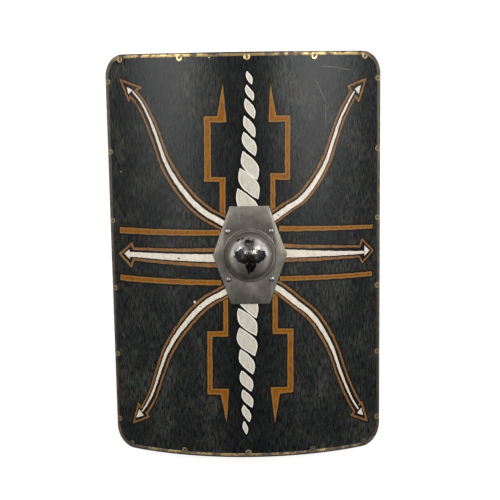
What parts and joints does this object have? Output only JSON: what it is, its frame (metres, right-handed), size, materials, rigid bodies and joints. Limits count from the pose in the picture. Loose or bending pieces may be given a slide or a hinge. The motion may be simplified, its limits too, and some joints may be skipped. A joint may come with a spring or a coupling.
{
  "type": "roman scutum shield",
  "caption": "Curved oblong shield with painted face, brass edging and a steel boss over its hand grip, lying face up.",
  "frame": {"origin": "middle of the shield's plan, on the surface it lies on", "axes": "+Z out of the front, +Y towards the top edge, +X to the right as seen from the front"},
  "size_m": [0.7126, 1.05, 0.1808],
  "materials": {
    "board": "plain plywood",
    "facing": "painted, satin, finely creased",
    "boss": "polished, scratched",
    "grip": "plain, oiled",
    "edging": "brown patina, worn bright in places",
    "nails": "dark",
    "rivets": "polished, worn"
  },
  "bodies": {
    "root": {"board": "board", "facing": "facing", "boss": "boss", "grip": "grip", "edging_top": "edging", "edging_bottom": "edging", "edging_left": "edging", "edging_right": "edging", "edging_top_left": "edging", "edging_top_right": "edging", "edging_bottom_left": "edging", "edging_bottom_right": "edging", "nail_1": "nails", "nail_2": "nails", "nail_3": "nails", "nail_4": "nails", "nail_5": "nails", "nail_6": "nails", "nail_7": "nails", "nail_8": "nails", "nail_9": "nails", "nail_10": "nails", "nail_11": "nails", "nail_12": "nails", "nail_13": "nails", "nail_14": "nails", "nail_15": "nails", "nail_16": "nails", "nail_17": "nails", "nail_18": "nails", "nail_19": "nails", "nail_20": "nails", "nail_21": "nails", "nail_22": "nails", "grip_nail_1": "nails", "grip_nail_2": "nails", "grip_nail_3": "nails", "grip_nail_4": "nails", "rivet_1": "rivets", "rivet_2": "rivets", "rivet_3": "rivets", "rivet_4": "rivets"}
  },
  "joints": []
}
